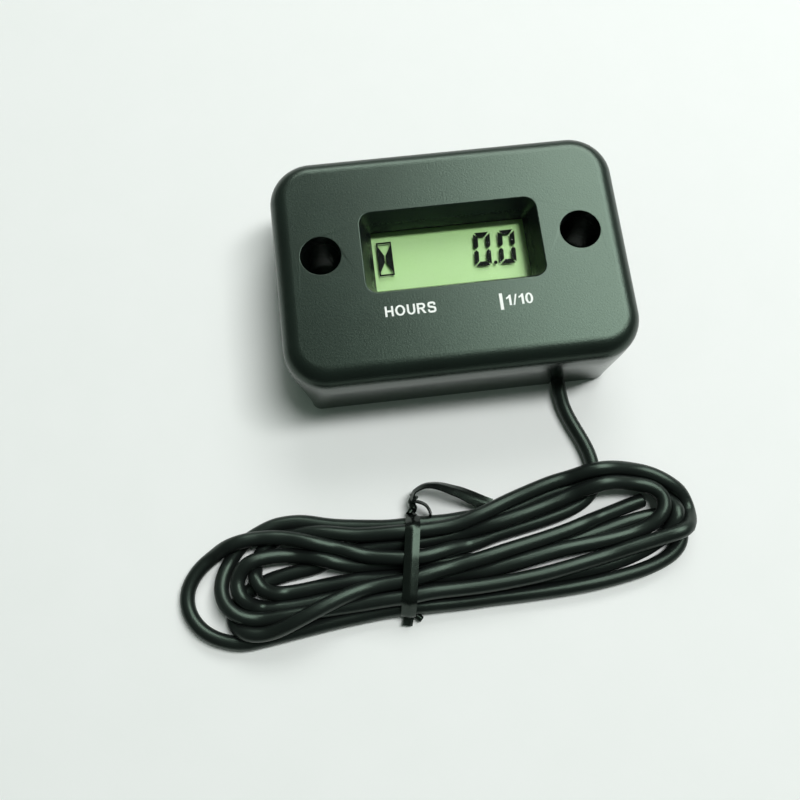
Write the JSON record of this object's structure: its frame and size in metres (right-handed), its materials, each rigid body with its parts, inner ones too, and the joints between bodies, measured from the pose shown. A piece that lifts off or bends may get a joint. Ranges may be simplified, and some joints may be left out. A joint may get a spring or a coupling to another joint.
{
  "type": "hour meter",
  "caption": "Small potted hour meter with a rounded case, a recessed LCD, screw wells either side of the window and a thin pick-up lead tied in a hank.",
  "frame": {"origin": "centre of the case's rear edge, on the surface that the meter lies on", "axes": "+Z out of the display face, +X along the case's long side to the display's right, +Y to the display's top"},
  "size_m": [0.086, 0.0765, 0.018],
  "materials": {
    "case_abs": "fine moulded grain",
    "clear_acrylic": "clear polished",
    "black_tape": "matt",
    "lcd_film": "satin film",
    "lcd_glass": "clear",
    "lcd_seal": "matt",
    "lcd_dark": "matt",
    "lcd_reflector": "pearly green",
    "holder_plastic": "moulded",
    "contact_rubber": "layered",
    "board_laminate": "solder resist",
    "black_resin": "cast",
    "plated_steel": "plated",
    "chip_ceramic": "fired",
    "cell_steel": "brushed",
    "nickel_strip": "rolled",
    "lead_rubber": "smooth satin",
    "copper": "drawn wire",
    "solder": "bright",
    "tie_plastic": "satin"
  },
  "bodies": {
    "root": {"front_case": "case_abs", "window_lens": "clear_acrylic", "lens_tape": "black_tape", "lcd_front_polariser": "lcd_film", "lcd_front_glass": "lcd_glass", "lcd_seal": "lcd_seal", "lcd_segments": "lcd_dark", "lcd_rear_glass": "lcd_glass", "lcd_reflector": "lcd_reflector", "lcd_holder": "holder_plastic", "contact_strips": "contact_rubber", "circuit_board": "board_laminate", "controller_blob": "black_resin", "crystal_can": "plated_steel", "chip_parts": "chip_ceramic", "board_screws": "plated_steel", "coin_cell": "cell_steel", "cell_tab_negative": "nickel_strip", "cell_tab_positive": "nickel_strip", "lead_sleeve": "lead_rubber", "lead_conductor": "copper", "solder_joint": "solder", "potting": "black_resin", "lead": "lead_rubber", "lead_hank": "lead_rubber", "twist_tie": "tie_plastic"}
  },
  "joints": []
}
